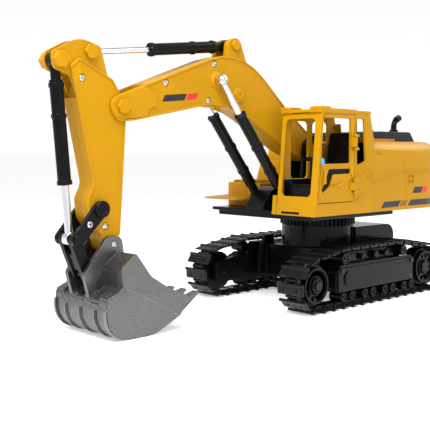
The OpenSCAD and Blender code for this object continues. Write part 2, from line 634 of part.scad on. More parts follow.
module boom_rod() {
    aim(rod_base, rod_end, rod_y) translate([0, 0, boom_rod_len]) rod_piece(66, boom_rod_r, 2, 3);
    rod_along_y(rod_end, rod_y + 1.9, rod_y + 3.1, 2.2);
}
stick_rod_len = norm(stick_lug - boom_lug);
module stick_barrel() color(dark) place() aim(boom_lug, stick_lug, 0) difference() {
    barrel(stick_barrel_len, 3.25, 2.6, [11, 26, stick_barrel_len - 2.2]);
    barrel_bore(stick_barrel_len, stick_rod_r, pin_r);
}
module stick_rod() color(steel) place() aim(boom_lug, stick_lug, 0) translate([0, 0, stick_rod_len])
    rod_piece(78, stick_rod_r, 2.5, 3.4);
bucket_rod_len = norm(link_low - bucket_lug);
module bucket_barrel() color(dark) place() aim(bucket_lug, link_low, 0) difference() {
    barrel(bucket_barrel_len, 3.4, 2.6, [11, 26, bucket_barrel_len - 2.2]);
    barrel_bore(bucket_barrel_len, bucket_rod_r, pin_r);
}
module bucket_rod() color(steel) place() aim(bucket_lug, link_low, 0) translate([0, 0, bucket_rod_len])
    rod_piece(64, bucket_rod_r, 2.3, 3.3);

// ---------- stick ----------
stick_outline = rounded([[192, 140.4, 1.5], [197.3, 136, 1.5], [194.2, 123, 6], [184.6, 78, 8], [188.6, 71, 5],
    [187.6, 60.5, 6], [180, 52, 4], [177.7, 43.1, 3.6],
    [170.3, 43.1, 3.6], [170.3, 49, 2], [168.3, 52, 3], [163.8, 111, 12], [163.8, 118.5, 4],
    [171.8, 131, 3]]);
stick_inner = rounded([[182.6, 78, 8], [185.5, 71, 3], [184.6, 61.5, 4], [178.2, 54.6, 2], [170, 54, 1],
    [166.8, 103, 2], [186.4, 103, 3]]);
head_z = 121;           // where the stick's head sits in its halves
head_outline = rounded([[bucket_lug[0] + 4.4, bucket_lug[1] + 3.4, 4], [bucket_lug[0] + 3, bucket_lug[1] - 4.4, 3.6],
    [196.6, 131.5, 2], [192, head_z, 1], [171, head_z, 1], [178.4, 146.8, 2.5], [191, 150.4, 14]]);
stick_screw_at = [[190.2, 130.6], [177.4, 56.4]];

module stick_half_shell(with_heads) difference() {
    side(0, stick_half) polygon(stick_outline);
    side(-1, stick_half - wall) polygon(stick_inner);
    side(-1, 5.05) polygon([[160, head_z], [200, head_z], [210, 160], [160, 160]]);
    rod_along_y(stick_pin, -20, 20, pin_r + run);
    rod_along_y(link_top, -20, 20, pin_r);
    rod_along_y(bucket_pin, -20, 20, pin_r);
    if (with_heads) for (p = stick_screw_at) rod_along_y(p, stick_half - 0.7, stick_half + 1, 2);
}
module stick_head() color(yellow) place() difference() {
    union() {
        both_sides() side(2.9, 5) polygon(head_outline);
        side(-3, 3) polygon([[176, head_z], [192, head_z], [192.4, 127], [178, 127]]);
    }
    rod_along_y(bucket_lug, -20, 20, pin_r);
    rod_along_y(stick_lug, -20, 20, pin_r);
}
module stick_bolts() color(yellow) place() {
    rod_along_y(bucket_lug, -5, 5, pin_r);
    both_sides() {
        rod_along_y(stick_lug, 2.9, 5, pin_r);
        hex_head(bucket_lug, 5, 7.8, 4.4);
        hex_head(stick_lug, 5, 7.2, 3.9);
    }
}
module stick_screws() color(steel) place() {
    for (p = stick_screw_at) rod_along_y(p, stick_half - 0.7, stick_half - 0.1, 1.7);
    for (p = [link_top, bucket_pin]) rod_along_y(p, -8.4, 8.4, pin_r);
}

// ---------- linkage and bucket ----------
link_in = stick_half + gap;
link_t = 2.2;
module side_links() color(dark) place() both_sides() difference() {
    union() {
        side(link_in, link_in + link_t) hull() {
            translate(link_top) circle(r = 4.2);
            translate(link_low) circle(r = 3.6);
        }
        rod_along_y(link_top, link_in + link_t - 0.1, link_in + link_t + 1, 3.5);
    }
    rod_along_y(link_top, 0, link_in + link_t - 0.1, pin_r + run);
    rod_along_y(link_low, 0, 20, pin_r);
}
module link_pin() color(steel) place() both_sides() rod_along_y(link_low, 2.7, link_in + link_t + 0.4, pin_r);
module bucket_link() color(dark) place() difference() {
    union() {
        both_sides() side(2.8, link_in - gap) hull() {
            translate(link_low) circle(r = 3.2);
            translate(bucket_low) circle(r = 3.2);
        }
        side(-3, 3) hull() for (k = [0.42, 0.8]) translate(link_low + (bucket_low - link_low) * k) circle(r = 2.2);
    }
    rod_along_y(link_low, -20, 20, pin_r + run);
    rod_along_y(bucket_low, -20, 20, pin_r + 0.1);
}

bucket_outline = rounded([[135.4, 17.3, 0.8], [142, 8, 0.8], [160, 0, 22], [190.5, 0, 14], [189.4, 21, 2],
    [179.4, 27, 3], [180.8, 36.6, 2], [171.4, 43.6, 1], [161.6, 30.8, 4], [150, 23.6, 4]]);
bucket_inside = rounded([[124.6, 17.4, 0], [160.3, 1.6, 20], [188.9, 1.6, 12.4], [187.4, 20, 1], [177.6, 26, 2],
    [178.8, 36, 1], [171, 41.4, 0], [160, 48, 0]]);
ear_in = link_in;
ear_out = link_in + 2.5;
module bucket() color(silver) place() difference() {
    union() {
        difference() {
            side(-bucket_half, bucket_half) polygon(bucket_outline);
            side(-bucket_half + wall, bucket_half - wall) polygon(bucket_inside);
        }
        both_sides() side(ear_in, ear_out) polygon(rounded([[bucket_pin[0] - 4.5, bucket_pin[1] + 4.5, 4.2],
            [bucket_pin[0] + 4.5, bucket_pin[1] + 4.5, 4.2], [bucket_low[0] + 5, bucket_low[1] + 1, 3.6],
            [bucket_low[0] + 1.6, 20.4, 1], [179.6, 26.9, 0], [178, 36, 0], [168, 42.2, 0]]));
        rod_along_y(bucket_low, -ear_out, ear_out, pin_r);
        for (y = [-19.5, -6.5, 6.5, 19.5]) side(y - 3.6, y + 3.6) polygon([[183.6, 20], [188.6, 16.8], [189.6, 18.6],
            [189, 22.4], [184, 24.6]]);
        for (i = [-2:2]) side(i * 10.2 - 2.2, i * 10.2 + 2.2) polygon([[143, 7.6], [127.8, 18.2],
            [128.4, 19.2], [134, 17.6], [144, 11.4]]);
    }
    rod_along_y(bucket_pin, -20, 20, pin_r + run);
}

// ---------- left and right pieces ----------
module track_frame_left() color(dark) place() track_frame();
module track_frame_right() color(dark) place() mirror([0, 1, 0]) track_frame();
module track_belt_left() color(dark) place() track_belt();
module track_belt_right() color(dark) place() mirror([0, 1, 0]) track_belt();
module rollers_left() color(dark) place() rollers();
module rollers_right() color(dark) place() mirror([0, 1, 0]) rollers();
module idler_left() color(dark) place() idler();
module idler_right() color(dark) place() mirror([0, 1, 0]) idler();
module sprocket_left() color(dark) place() sprocket();
module sprocket_right() color(dark) place() mirror([0, 1, 0]) sprocket();
module gearbox_left() color(grey) place() gearbox();
module gearbox_right() color(grey) place() mirror([0, 1, 0]) gearbox();
module boom_left() color(yellow) place() boom_half_shell(true);
module boom_right() color(yellow) place() mirror([0, 1, 0]) boom_half_shell(false);
module boom_barrel_left() color(dark) place() boom_barrel();
module boom_barrel_right() color(dark) place() mirror([0, 1, 0]) boom_barrel();
module boom_rod_left() color(steel) place() boom_rod();
module boom_rod_right() color(steel) place() mirror([0, 1, 0]) boom_rod();
module stick_left() color(yellow) place() stick_half_shell(true);
module stick_right() color(yellow) place() mirror([0, 1, 0]) stick_half_shell(false);

chassis_frame();
battery_pack();
battery_door();
chassis_screws();
power_switch();
ring_gear();
track_frame_left();
track_frame_right();
track_belt_left();
track_belt_right();
rollers_left();
rollers_right();
idler_left();
idler_right();
idler_axles();
sprocket_left();
sprocket_right();
gearbox_left();
gearbox_right();
upper_floor();
body_shell();
engine_hood();
exhaust_pipe();
tread_strips();
toolbox();
cab_shell();
cab_roof();
cab_door();
seat();
console();
control_lever();
cab_led();
slew_motor();
slew_pinion();
boom_gearbox();
circuit_board();
cylinder_bracket();
cylinder_pin();
foot_pin();
boom_left();
boom_right();
boom_screws();
boom_bolts();
boom_barrel_left();
boom_barrel_right();
boom_rod_left();
boom_rod_right();
stick_barrel();
stick_rod();
stick_left();
stick_right();
stick_head();
stick_bolts();
stick_screws();
bucket_barrel();
bucket_rod();
side_links();
link_pin();
bucket_link();
bucket();
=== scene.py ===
import json
import math

import bmesh
import bpy
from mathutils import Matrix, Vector

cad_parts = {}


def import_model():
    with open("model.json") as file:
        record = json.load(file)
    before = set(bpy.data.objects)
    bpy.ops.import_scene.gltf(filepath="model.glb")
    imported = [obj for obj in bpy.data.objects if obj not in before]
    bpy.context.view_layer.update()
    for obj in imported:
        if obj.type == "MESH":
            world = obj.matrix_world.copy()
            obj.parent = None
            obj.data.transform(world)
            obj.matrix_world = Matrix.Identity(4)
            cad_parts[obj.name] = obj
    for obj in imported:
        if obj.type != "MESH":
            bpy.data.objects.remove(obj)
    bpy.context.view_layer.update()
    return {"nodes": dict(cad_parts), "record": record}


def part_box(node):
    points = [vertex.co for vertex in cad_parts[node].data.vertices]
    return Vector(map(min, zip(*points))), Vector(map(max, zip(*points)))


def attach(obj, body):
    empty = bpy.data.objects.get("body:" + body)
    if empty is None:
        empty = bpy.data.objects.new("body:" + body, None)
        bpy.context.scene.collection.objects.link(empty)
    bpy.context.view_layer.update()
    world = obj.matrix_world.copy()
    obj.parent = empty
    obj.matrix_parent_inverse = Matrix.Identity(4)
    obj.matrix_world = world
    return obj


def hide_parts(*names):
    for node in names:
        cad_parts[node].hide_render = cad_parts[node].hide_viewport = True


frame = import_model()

MM = 0.001
FULL_TURN = 2 * math.pi
SIDES = ((1, "left"), (-1, "right"))
RECORD = frame["record"]
BODY = {node: body for body, nodes in RECORD["behaviour"]["bodies"].items() for node in nodes}
SLOT = {part["node"]: part["material_slot"] for part in RECORD["subparts"]}
PIVOTS = {joint["name"]: joint["pos_m"] for joint in RECORD["behaviour"]["joints"] if "pos_m" in joint}


def middle(node):
    """The centre of a CAD node's box, in metres."""
    low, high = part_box(node)
    return (low + high) / 2


slew_x = middle("ring_gear").x
boom_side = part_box("boom_screws")[1].y / MM + 0.2   # outer face of the boom
stick_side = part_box("stick_left")[1].y / MM
# right and left faces of the cab
cab_right, cab_side = (corner.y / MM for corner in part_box("cab_roof"))
house_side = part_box("body_shell")[1].y / MM
tail_x = (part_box("body_shell")[0].x - slew_x) / MM + house_side   # centre of the round tail
axle_z = middle("idler_left").z / MM
axle_x = (middle("idler_left").x - middle("sprocket_left").x) / MM / 2
track_y = middle("track_belt_left").y / MM


def at(x, y, z):
    """A point given in millimetres from the slew axis, the centre plane and the ground."""
    return Vector((slew_x + x * MM, y * MM, z * MM))


def pivot(joint):
    """The (x, z) of a joint's axis, in millimetres."""
    x, _, z = PIVOTS[joint]
    return Vector(((x - slew_x) / MM, z / MM))


LINK_TOP = pivot("side_link_swing")
LINK_LOW = pivot("bucket_link_swing")
BUCKET_PIN = pivot("bucket_curl")
# screws that no joint marks: between the link's two pins, and in the eyes of the boom's push rods
LINK_SCREW = (188.6, 58.1)
ROD_END = (100.5, 134.4)


# ---------- materials ----------
def new_material(name):
    """A new material with its nodes, links and shader."""
    material = bpy.data.materials.new(name)
    material.use_nodes = True
    nodes = material.node_tree.nodes
    return material, nodes, material.node_tree.links, nodes["Principled BSDF"]


def noise(nodes, links, vector, scale, detail):
    """The value of a noise pattern over vector."""
    node = nodes.new("ShaderNodeTexNoise")
    node.inputs["Scale"].default_value = scale
    node.inputs["Detail"].default_value = detail
    links.new(vector, node.inputs["Vector"])
    return node.outputs["Fac"]


def spread(nodes, links, source, low, high, start=0.0, end=1.0):
    """Maps a 0 to 1 value on to the stretch from low to high."""
    node = nodes.new("ShaderNodeMapRange")
    node.inputs["From Min"].default_value = start
    node.inputs["From Max"].default_value = end
    node.inputs["To Min"].default_value = low
    node.inputs["To Max"].default_value = high
    links.new(source, node.inputs["Value"])
    return node.outputs["Result"]


def mix(nodes, links, factor, first, second):
    """first and second are colours or sockets."""
    node = nodes.new("ShaderNodeMix")
    node.data_type = "RGBA"
    links.new(factor, node.inputs["Factor"])
    for socket, value in ((node.inputs["A"], first), (node.inputs["B"], second)):
        if isinstance(value, tuple):
            socket.default_value = (*value, 1.0)
        else:
            links.new(value, socket)
    return node.outputs["Result"]


def shade(colour, k):
    """A colour made lighter or darker by the factor k."""
    return tuple(min(1.0, c * k) for c in colour)


def add_grain(nodes, links, shader, pattern, depth, strength):
    """Roughens the surface by a pattern, depth metres deep."""
    bump = nodes.new("ShaderNodeBump")
    bump.inputs["Distance"].default_value = depth
    bump.inputs["Strength"].default_value = strength
    links.new(pattern, bump.inputs["Height"])
    links.new(bump.outputs["Normal"], shader.inputs["Normal"])


def moulded(name, colour, rough, grain=0.00002, edge_wear_and_highlight=1.25, speckle=0.0, metal=0.0, coat=0.0, shine=0.3):
    """Moulded plastic: fine mould texture, uneven gloss, lighter edges that are partly rubbed wear and
    partly a painted highlight, and faint colour drift.
    """
    material, nodes, links, shader = new_material(name)
    place = nodes.new("ShaderNodeTexCoord").outputs["Object"]
    drift = spread(nodes, links, noise(nodes, links, place, 28.0, 4.0), 0.0, 1.0, 0.3, 0.7)
    base = mix(nodes, links, drift, shade(colour, 0.93), shade(colour, 1.06))
    if speckle:
        flecks = spread(nodes, links, noise(nodes, links, place, 1700.0, 2.0), 0.0, speckle, 0.5, 0.68)
        base = mix(nodes, links, flecks, base, shade(colour, 2.4))
    edges = nodes.new("ShaderNodeNewGeometry")
    # edges lightened by pointiness: partly rubbed wear, partly a painted highlight along the edges
    rubbed_and_highlit = spread(nodes, links, edges.outputs["Pointiness"], 0.0, 0.55, 0.52, 0.62)
    base = mix(nodes, links, rubbed_and_highlit, base, shade(colour, edge_wear_and_highlight))
    links.new(base, shader.inputs["Base Color"])
    gloss = noise(nodes, links, place, 210.0, 5.0)
    links.new(spread(nodes, links, gloss, rough - 0.06, rough + 0.08), shader.inputs["Roughness"])
    add_grain(nodes, links, shader, noise(nodes, links, place, 2600.0, 2.0), grain, 0.7)
    shader.inputs["Metallic"].default_value = metal
    shader.inputs["Specular IOR Level"].default_value = shine
    shader.inputs["Coat Weight"].default_value = coat
    shader.inputs["Coat Roughness"].default_value = 0.12
    return material


def plated(name, colour, rough):
    """Plated metal with faint lengthwise scratches."""
    material, nodes, links, shader = new_material(name)
    place = nodes.new("ShaderNodeTexCoord")
    stretch = nodes.new("ShaderNodeMapping")
    stretch.inputs["Scale"].default_value = (1.0, 1.0, 0.06)
    links.new(place.outputs["Object"], stretch.inputs["Vector"])
    scratch = noise(nodes, links, stretch.outputs["Vector"], 900.0, 4.0)
    tone = spread(nodes, links, scratch, 0.0, 1.0, 0.35, 0.65)
    links.new(mix(nodes, links, tone, shade(colour, 0.9), colour), shader.inputs["Base Color"])
    links.new(spread(nodes, links, scratch, rough, rough + 0.14), shader.inputs["Roughness"])
    add_grain(nodes, links, shader, scratch, 0.000006, 0.5)
    shader.inputs["Metallic"].default_value = 1.0
    return material


def glowing(name, colour, strength):
    """Moulded plastic that gives off light of its own colour."""
    material = moulded(name, colour, 0.2, edge_wear_and_highlight=1.4)
    shader = material.node_tree.nodes["Principled BSDF"]
    shader.inputs["Emission Color"].default_value = (*colour, 1.0)
    shader.inputs["Emission Strength"].default_value = strength
    return material


YELLOW = (0.43, 0.208, 0.001)
# each material's edge factor lightens its edges, partly as rubbed wear and partly as a painted highlight
MATERIALS = {
    "yellow_plastic": moulded("yellow_plastic", YELLOW, 0.33, edge_wear_and_highlight=1.3, shine=0.12),
    "black_plastic": moulded("black_plastic", (0.0025, 0.0025, 0.0028), 0.19, edge_wear_and_highlight=3.5, shine=0.13),
    "track_rubber": moulded("track_rubber", (0.0035, 0.0035, 0.0037), 0.22, grain=0.00004, edge_wear_and_highlight=4.0,
                            shine=0.2),
    "hood_grey": moulded("hood_grey", (0.016, 0.018, 0.024), 0.34, edge_wear_and_highlight=1.8, shine=0.15),
    "bucket_grey": moulded("bucket_grey", (0.085, 0.085, 0.083), 0.3, grain=0.00003, edge_wear_and_highlight=3.0, speckle=0.75,
                           metal=0.85),
    "chrome_rod": plated("chrome_rod", (0.78, 0.78, 0.84), 0.14),
    "steel": plated("steel", (0.62, 0.61, 0.6), 0.22),
    "blackened_steel": plated("blackened_steel", (0.03, 0.03, 0.032), 0.2),
    "led_blue": glowing("led_blue", (0.01, 0.12, 0.9), 5.0),
    "board_green": moulded("board_green", (0.01, 0.11, 0.03), 0.4),
    "cell_blue": moulded("cell_blue", (0.02, 0.06, 0.25), 0.3),
    "white_nylon": moulded("white_nylon", (0.72, 0.71, 0.66), 0.45),
}
DECAL_BLACK = moulded("decal_black", (0.006, 0.006, 0.007), 0.28, grain=0.000006, edge_wear_and_highlight=1.6, coat=0.3)
# a lighter copy of the bucket grey: a painted highlight along the bucket's side seam
EDGE_HIGHLIGHT_GREY = moulded("edge_highlight_grey", (0.15, 0.15, 0.145), 0.3, grain=0.00003, edge_wear_and_highlight=1.6, speckle=0.4,
                    metal=0.8)
DECAL_RED = moulded("decal_red", (0.62, 0.012, 0.008), 0.3, grain=0.000006, edge_wear_and_highlight=1.4, coat=0.3)


# ---------- mesh helpers ----------
SHARP_ANGLE = 34   # edges that turn by more than this many degrees are drawn sharp, or rounded by soften
RIDGE_ANGLE = 50   # the same for moulded lines, whose flanks run into their crests


def spoke(angle, radius=1.0):
    """The end of a spoke from the origin, in a plane."""
    return Vector((radius * math.cos(angle), radius * math.sin(angle)))


def round_points(centre, radius, sides):
    """Points evenly spaced round a circle."""
    return [Vector(centre) + spoke(FULL_TURN * k / sides, radius) for k in range(sides)]


def add_piece(name, bm, body, slot, material=None, angle=SHARP_ANGLE):
    """Makes the piece of a mesh, riding on body; its material is the slot's unless one is given."""
    bmesh.ops.remove_doubles(bm, verts=bm.verts, dist=1e-7)
    bmesh.ops.recalc_face_normals(bm, faces=bm.faces)
    mesh = bpy.data.meshes.new(name)
    bm.to_mesh(mesh)
    bm.free()
    mesh.shade_smooth()
    mesh.set_sharp_from_angle(angle=math.radians(angle))
    mesh.materials.append(material or MATERIALS[slot])
    piece = bpy.data.objects.new(name, mesh)
    bpy.context.scene.collection.objects.link(piece)
    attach(piece, body)
    return piece


def soften(piece, width, segments=2):
    """Rounds the edges of a piece, as a mould does."""
    bevel = piece.modifiers.new("soft_edges", "BEVEL")
    bevel.width = width * MM
    bevel.segments = segments
    bevel.limit_method = "ANGLE"
    bevel.angle_limit = math.radians(SHARP_ANGLE)
    bevel.use_clamp_overlap = False
    bevel.harden_normals = True


def node_mesh(node, joined=True):
    """A CAD node's shape; joined merges the triangles of each flat face."""
    bm = bmesh.new()
    bm.from_mesh(frame["nodes"][node].data)
    bmesh.ops.remove_doubles(bm, verts=bm.verts, dist=2e-6)
    if joined:
        bmesh.ops.dissolve_limit(bm, angle_limit=math.radians(0.3), verts=bm.verts, edges=bm.edges)
    return bm


def detailed(node, width, joined=True):
    """Shows a CAD node with softened edges."""
    piece = add_piece(node + "_moulded", node_mesh(node, joined), BODY[node], SLOT[node])
    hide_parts(node)
    soften(piece, width)


def carved(bm, cutter):
    """The shape in bm with the shape in cutter taken out."""
    objects = []
    for part in (bm, cutter):
        bmesh.ops.recalc_face_normals(part, faces=part.faces)
        mesh = bpy.data.meshes.new("scratch")
        part.to_mesh(mesh)
        part.free()
        objects.append(bpy.data.objects.new("scratch", mesh))
        bpy.context.scene.collection.objects.link(objects[-1])
    cut = objects[0].modifiers.new("cut", "BOOLEAN")
    cut.operation = "DIFFERENCE"
    cut.solver = "EXACT"
    cut.object = objects[1]
    result = bmesh.new()
    result.from_object(objects[0], bpy.context.evaluated_depsgraph_get())
    for part in objects:
        mesh = part.data
        bpy.data.objects.remove(part)
        bpy.data.meshes.remove(mesh)
    return result


def side_outline(node, side, y):
    """The outer outline, in (x, z) millimetres from the slew axis, of a node's flat face at y."""
    bm = node_mesh(node)
    facing = [f for f in bm.faces if f.normal.y * side > 0.999]
    flat = [f for f in facing if abs(f.calc_center_median().y / MM - y) < 0.05]
    # each vertex on the edge of the flat area, with the next one round it
    after = {}
    for face in flat:
        for loop in face.loops:
            if loop.link_loop_radial_next.face not in flat:
                after[loop.vert] = loop.link_loop_next.vert
    outlines = []
    while after:
        outline = []
        vert = next(iter(after))
        while vert in after:
            outline.append(Vector(((vert.co.x - slew_x) / MM, vert.co.z / MM)))
            vert = after.pop(vert)
        outlines.append(outline)
    bm.free()
    return max(outlines, key=lambda points: sum((p - q).length for p, q in zip(points, points[1:])))


def inset(outline, distance, shortest=0.5):
    """A closed outline moved inwards, with points closer than shortest joined."""
    points = [outline[0]]
    for p in outline[1:]:
        if (p - points[-1]).length > shortest:
            points.append(p)
    area = sum(p.x * q.y - q.x * p.y for p, q in zip(points, points[1:] + points[:1]))
    turn = 1 if area > 0 else -1
    moved = []
    for i, p in enumerate(points):
        a, b = points[i - 1], points[(i + 1) % len(points)]
        first, second = (p - a).normalized(), (b - p).normalized()
        normal = Vector((-(first.y + second.y), first.x + second.x)).normalized() * turn
        stretch = max(0.5, normal.dot(Vector((-first.y, first.x)) * turn))
        moved.append(p + normal * (distance / stretch))
    return moved


def add_walls(bm, near, far):
    """Joins two like rings of vertices by walls and closes both ends."""
    bm.faces.new(near)
    bm.faces.new(list(reversed(far)))
    for i in range(len(near)):
        j = (i + 1) % len(near)
        bm.faces.new((near[i], far[i], far[j], near[j]))


def add_loft(bm, rows):
    """Joins a row of like rings of vertices and closes both ends."""
    count = len(rows[0])
    for first, second in zip(rows, rows[1:]):
        for k in range(count):
            n = (k + 1) % count
            bm.faces.new((first[k], first[n], second[n], second[k]))
    bm.faces.new(rows[0])
    bm.faces.new(list(reversed(rows[-1])))


def add_prism(bm, outline, y0, y1):
    """An outline of (x, z) points, from y0 to y1, all in millimetres from the slew axis."""
    near = [bm.verts.new(at(x, y0, z)) for x, z in outline]
    far = [bm.verts.new(at(x, y1, z)) for x, z in outline]
    add_walls(bm, near, far)


def outwards(side):
    """The turn that takes Z to the outward direction of a side, along Y."""
    return Vector((0, 0, 1)).rotation_difference(Vector((0, side, 0))).to_matrix()


def add_stud(bm, x, z, y, side, profile, sides=32):
    """Turns (radius, height) points round an axis that points outwards at y; closed where a radius is 0."""
    centre = at(x, side * y, z)
    turn = outwards(side)
    rings = []
    for radius, height in profile:
        around = round_points((0, 0), radius * MM, sides) if radius else [Vector((0, 0))]
        rings.append([bm.verts.new(centre + turn @ Vector((p.x, p.y, height * MM))) for p in around])
    for low, high in zip(rings, rings[1:]):
        for k in range(sides):
            n = (k + 1) % sides
            corners = [low[k % len(low)], low[n % len(low)], high[n % len(high)], high[k % len(high)]]
            corners = list(dict.fromkeys(corners))
            if len(corners) > 2:
                bm.faces.new(corners)
    for ring in (rings[0], rings[-1]):
        if len(ring) > 1:
            bm.faces.new(ring)


def add_ring(bm, x, z, y, side, inner, outer, height, sides=36):
    """A raised ring on a face that looks along Y."""
    turn = outwards(side)
    profile = [(outer, -0.6), (outer, height * 0.6), (outer - 0.25, height), (inner + 0.25, height),
               (inner, height * 0.6), (inner, -0.6)]
    loops = []
    for ray in round_points((0, 0), MM, sides):
        points = [Vector((r * ray.x, r * ray.y, h * MM)) for r, h in profile]
        loops.append([bm.verts.new(at(x, side * y, z) + turn @ p) for p in points])
    for near, far in zip(loops, loops[1:] + loops[:1]):
        for i in range(len(profile)):
            j = (i + 1) % len(profile)
            bm.faces.new((near[i], near[j], far[j], far[i]))


def box_outline(x0, x1, z0, z1):
    """The corners of a rectangle."""
    return [(x0, z0), (x1, z0), (x1, z1), (x0, z1)]


def add_block(bm, x0, x1, y0, y1, z0, z1):
    """A rectangular block."""
    add_prism(bm, box_outline(x0, x1, z0, z1), y0, y1)


def smooth_line(points, step=1.5):
    """Points of a smooth line through the given ones, about step millimetres apart."""
    out = []
    n = len(points)
    for i in range(n - 1):
        before, a = Vector(points[max(i - 1, 0)]), Vector(points[i])
        b, after = Vector(points[i + 1]), Vector(points[min(i + 2, n - 1)])
        count = max(1, round((b - a).length / step))
        for k in range(count):
            t = k / count
            out.append(0.5 * (2 * a + (b - before) * t + (2 * before - 5 * a + 4 * b - after) * t * t
                              + (3 * a - before - 3 * b + after) * t ** 3))
    out.append(Vector(points[-1]))
    return out


SUNK = -0.3   # how far a detail reaches into the face it lies on


def add_ridge(bm, points, surface, width, height):
    """A low moulded line along (x, z) points; surface(x, z, out) places them, out millimetres proud."""
    n = len(points)
    rows = []
    for i, point in enumerate(points):
        along = (points[min(i + 1, n - 1)] - points[max(i - 1, 0)]).normalized()
        across = Vector((-along.y, along.x))
        row = []
        for k, out in ((-0.5, SUNK), (-0.32, height * 0.8), (0, height), (0.32, height * 0.8), (0.5, SUNK)):
            p = point + across * (k * width)
            row.append(bm.verts.new(surface(p.x, p.y, out)))
        rows.append(row)
    add_loft(bm, rows)


# ---------- plain moulded nodes ----------
# width of the soft edges of each node, in millimetres
SOFT_EDGES = {
    "chassis_frame": 0.5, "ring_gear": 0.12, "gearbox_left": 0.15, "gearbox_right": 0.15,
    "rollers_left": 0.35, "rollers_right": 0.35, "upper_floor": 0.4, "body_shell": 0.4, "engine_hood": 0.35,
    "exhaust_pipe": 0.1, "tread_strips": 0.15, "toolbox": 0.4, "cab_roof": 0.3, "seat": 0.6, "console": 0.5,
    "control_lever": 0.2, "cylinder_bracket": 0.4, "boom_barrel_left": 0.3, "boom_barrel_right": 0.3,
    "boom_rod_left": 0.25, "boom_rod_right": 0.25, "stick_barrel": 0.3, "stick_rod": 0.25,
    "bucket_barrel": 0.2, "bucket_rod": 0.25, "bucket_link": 0.35, "link_pin": 0.2, "cylinder_pin": 0.25,
    "foot_pin": 0.3, "idler_axles": 0.3, "stick_head": 0.2, "battery_door": 0.3, "power_switch": 0.15,
    "boom_left": 0.3, "stick_left": 0.3, "track_frame_left": 0.3,
    "boom_right": 0.3, "stick_right": 0.3, "track_frame_right": 0.3,
    "cab_shell": 0.35, "cab_door": 0.25, "boom_bolts": 0.4, "stick_bolts": 0.4, "bucket": 0.12,
    "idler_left": 0.3, "idler_right": 0.3, "sprocket_left": 0.3, "sprocket_right": 0.3,
}
# the door keeps its triangles, because the ring-shaped ends of its knuckles tear when merged
for node, width in SOFT_EDGES.items():
    detailed(node, width, joined=node != "cab_door")

for node in ("battery_pack", "chassis_screws", "cab_led", "slew_motor", "slew_pinion", "boom_gearbox",
             "circuit_board"):
    shown = frame["nodes"][node]
    shown.data.materials.clear()
    shown.data.materials.append(MATERIALS[SLOT[node]])


# ---------- surfaces that details lie on ----------
def flat_side(y):
    """Places (x, z) on a flat side at y, out millimetres proud."""
    side = 1 if y > 0 else -1
    return lambda x, z, out: at(x, y + side * out, z)


def house_surface(side):
    """The side of the engine house, which goes on round the tail past its centre."""
    def place(x, z, out):
        if x >= tail_x:
            return at(x, side * (house_side + out), z)
        turn = (tail_x - x) / house_side
        radius = house_side + out
        return at(tail_x - radius * math.sin(turn), side * radius * math.cos(turn), z)
    return place


def add_patch(bm, corners, surface, steps=1):
    """A thin decal between four corners: one edge's bottom and top, then the other edge's."""
    low_left, high_left, low_right, high_right = corners
    out = 0.1
    rows = []
    for k in range(steps + 1):
        t = k / steps
        low, high = low_left.lerp(low_right, t), high_left.lerp(high_right, t)
        section = ((low, SUNK), (low, out), (high, out), (high, SUNK))
        rows.append([bm.verts.new(surface(p.x, p.y, proud)) for p, proud in section])
    add_loft(bm, rows)


def add_decal(name, corners, surface, body, slot, material, steps=1):
    """A piece of one decal."""
    bm = bmesh.new()
    add_patch(bm, corners, surface, steps)
    add_piece(name, bm, body, slot, material)


def line(*points):
    """A line or outline through (x, z) points."""
    return [Vector(p) for p in points]


def close_ridge(bm, outline, surface, width, height):
    """A moulded line that runs all round an outline."""
    add_ridge(bm, outline + outline[:2], surface, width, height)


# ---------- tracks ----------
SHOE_OUT = 2.4                 # from the pitch line to the tips of the shoes
PITCH_R = axle_z - SHOE_OUT    # round the end wheels, so that the tips reach the ground
# the upper bends of the belt
CARRIER_X, CARRIER_Z, CARRIER_R = 31.0, 30.4, 4.7
PULLEYS = [(-axle_x, axle_z, PITCH_R), (axle_x, axle_z, PITCH_R), (CARRIER_X, CARRIER_Z, CARRIER_R),
           (-CARRIER_X, CARRIER_Z, CARRIER_R)]
SHOE_COUNT = 34
SHOE_HALF = 9.9                # half a shoe's width


def leaving(i):
    """Angle of the outward normal of the straight run that leaves pulley i, and the run's length."""
    (ax, az, ar), (bx, bz, br) = PULLEYS[i % 4], PULLEYS[(i + 1) % 4]
    gap = Vector((bx - ax, bz - az))
    k = (ar - br) / gap.length
    u = gap.normalized()
    normal = u * k + Vector((u.y, -u.x)) * math.sqrt(1 - k * k)
    return math.atan2(normal.y, normal.x), math.sqrt(gap.length ** 2 - (ar - br) ** 2)


def on_loop(s):
    """Point on the pitch line, as (x, z), and the angle of its outward normal."""
    i = 0
    while True:
        angle, run = leaving(i)
        x, z, radius = PULLEYS[i % 4]
        normal = spoke(angle)
        if s <= run:
            return Vector((x, z)) + normal * radius + Vector((-normal.y, normal.x)) * s, angle
        s -= run
        x, z, radius = PULLEYS[(i + 1) % 4]
        bend = ((leaving(i + 1)[0] - angle) % FULL_TURN) * radius
        if s <= bend:
            turned = angle + s / radius
            return Vector((x, z)) + spoke(turned, radius), turned
        s -= bend
        i += 1


def loop_length():
    """Length of the pitch line."""
    runs = sum(leaving(i)[1] for i in range(4))
    turns = [(leaving(i + 1)[0] - leaving(i)[0]) % FULL_TURN for i in range(4)]
    return runs + sum(turn * PULLEYS[(i + 1) % 4][2] for i, turn in enumerate(turns))


LOOP = loop_length()
SHOE_PITCH = LOOP / SHOE_COUNT


def bar(bm, profile, v0, v1):
    """A bar of a (u, w) profile across the track from v0 to v1, in millimetres round its own centre."""
    near = [bm.verts.new((u, v0, w)) for u, w in profile]
    far = [bm.verts.new((u, v1, w)) for u, w in profile]
    add_walls(bm, near, far)


def upright(bm, u, v, radius, w0, w1, sides=12):
    """A round bar that stands on the shoe, from w0 to w1."""
    ring = round_points((u, v), radius, sides)
    low = [bm.verts.new((x, y, w0)) for x, y in ring]
    high = [bm.verts.new((x, y, w1)) for x, y in ring]
    add_walls(bm, low, high)


